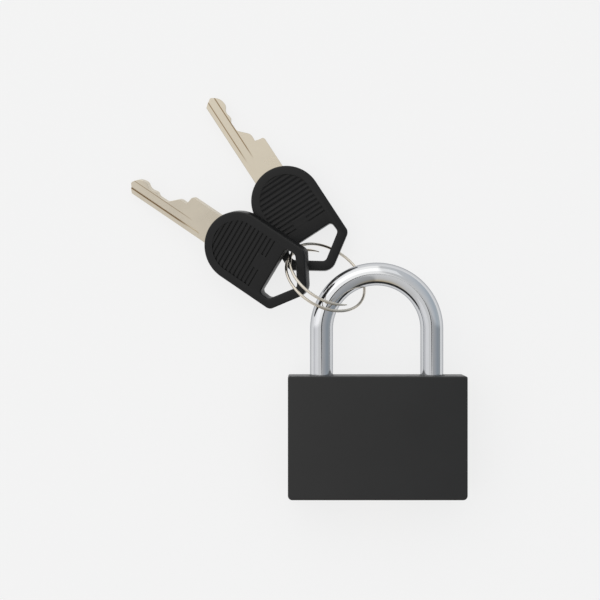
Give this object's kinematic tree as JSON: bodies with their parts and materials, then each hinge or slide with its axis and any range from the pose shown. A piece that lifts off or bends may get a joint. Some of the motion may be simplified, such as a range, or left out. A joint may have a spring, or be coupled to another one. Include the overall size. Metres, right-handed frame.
{
  "type": "padlock",
  "caption": "Keyed padlock with a rectangular black body and a chrome U shackle, and plastic-headed keys on a split ring looped round the shackle.",
  "frame": {"origin": "middle of the lock body's back face, on which the lock lies", "axes": "+X to the lock's right, +Y toward the shackle, +Z out of the front face"},
  "size_m": [0.0853, 0.102, 0.0182],
  "materials": {
    "black_paint": "satin black",
    "chrome": "polished",
    "steel": "plain steel",
    "brass": "machined",
    "nickel": "warm nickel plate",
    "black_plastic": "fine matt moulding"
  },
  "bodies": {
    "lock": {"lock_body": "black_paint", "bolt_bore_plug": "black_paint", "plug_retaining_pin": "steel", "heel_stop_pin": "steel", "bolt_spring": "steel", "heel_spring": "steel", "pin_spring_1": "steel", "pin_spring_2": "steel", "pin_spring_3": "steel", "pin_spring_4": "steel", "chamber_plug_1": "black_paint", "chamber_plug_2": "black_paint", "chamber_plug_3": "black_paint", "chamber_plug_4": "black_paint"},
    "shackle": {"shackle": "chrome"},
    "toe_bolt": {"toe_bolt": "steel"},
    "plug": {"cylinder_plug": "brass", "plug_cam": "steel", "key_pin_1": "brass", "key_pin_2": "brass", "key_pin_3": "brass", "key_pin_4": "brass"},
    "driver_1": {"driver_pin_1": "steel"},
    "driver_2": {"driver_pin_2": "steel"},
    "driver_3": {"driver_pin_3": "steel"},
    "driver_4": {"driver_pin_4": "steel"},
    "ring": {"key_ring": "nickel"},
    "key_1": {"key_1_bow": "black_plastic", "key_1_blade": "nickel"},
    "key_2": {"key_2_bow": "black_plastic", "key_2_blade": "nickel"}
  },
  "joints": [
    {"name": "plug_turn", "type": "hinge", "parent": "lock", "child": "plug", "pos_m": [0, -0.0154, 0.007], "axis": [0, -1, 0], "range_deg": [0, 90]},
    {"name": "toe_bolt_slide", "type": "slide", "parent": "lock", "child": "toe_bolt", "axis": [-1, 0, 0], "range_m": [0, 0.0045], "deforming": ["bolt_spring"]},
    {"name": "shackle_lift", "type": "slide", "parent": "lock", "child": "shackle", "axis": [0, 1, 0], "range_m": [0, 0.0099], "deforming": ["heel_spring"]},
    {"name": "driver_1_slide", "type": "slide", "parent": "lock", "child": "driver_1", "axis": [1, 0, 0], "range_m": [0, 0.0012], "stiffness_N_per_m": 60, "springref_m": -0.001, "deforming": ["pin_spring_1"]},
    {"name": "driver_2_slide", "type": "slide", "parent": "lock", "child": "driver_2", "axis": [1, 0, 0], "range_m": [0, 0.0012], "stiffness_N_per_m": 60, "springref_m": -0.001, "deforming": ["pin_spring_2"]},
    {"name": "driver_3_slide", "type": "slide", "parent": "lock", "child": "driver_3", "axis": [1, 0, 0], "range_m": [0, 0.0012], "stiffness_N_per_m": 60, "springref_m": -0.001, "deforming": ["pin_spring_3"]},
    {"name": "driver_4_slide", "type": "slide", "parent": "lock", "child": "driver_4", "axis": [1, 0, 0], "range_m": [0, 0.0012], "stiffness_N_per_m": 60, "springref_m": -0.001, "deforming": ["pin_spring_4"]},
    {"name": "ring_swing", "type": "hinge", "parent": "shackle", "child": "ring", "pos_m": [-0.00773, 0.03887, 0.007], "axis": [0.8339, 0.5519, 0], "range_deg": [0, 75]},
    {"name": "key_1_flip", "type": "hinge", "parent": "ring", "child": "key_1", "pos_m": [-0.01043, 0.04731, 0.00095], "axis": [0.8726, -0.4628, -0.1561], "range_deg": [0, 40]},
    {"name": "key_2_flip", "type": "hinge", "parent": "ring", "child": "key_2", "pos_m": [-0.02052, 0.04763, 0.00785], "axis": [0.4747, 0.4158, -0.7758], "range_deg": [-15, 35]}
  ],
  "couplings": [
    {"joint": "plug_turn", "follows": "shackle_lift", "rad_per_m": 158.66},
    {"joint": "toe_bolt_slide", "follows": "shackle_lift", "ratio": 0.4545}
  ]
}
